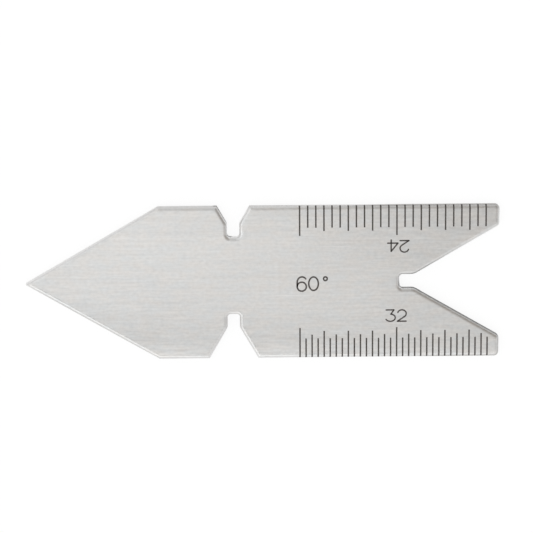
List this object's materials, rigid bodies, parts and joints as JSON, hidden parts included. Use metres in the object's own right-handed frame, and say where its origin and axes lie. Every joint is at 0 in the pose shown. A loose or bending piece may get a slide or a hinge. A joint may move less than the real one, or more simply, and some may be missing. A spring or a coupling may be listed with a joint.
{
  "type": "center gauge",
  "caption": "Flat steel gauge for setting 60 degree thread cutting tools, with a point, vees and inch scales.",
  "frame": {"origin": "middle of the plate's back face: half way from the point to the forked end, on the centre line", "axes": "+X from the point to the forked end, +Y across the plate to the edge with the 24ths scale, +Z out of the marked face"},
  "size_m": [0.062, 0.0202, 0.0012],
  "materials": {
    "gauge_plate": "fine lengthwise brushed stainless steel"
  },
  "bodies": {
    "root": {"gauge_plate": "gauge_plate"}
  },
  "joints": []
}
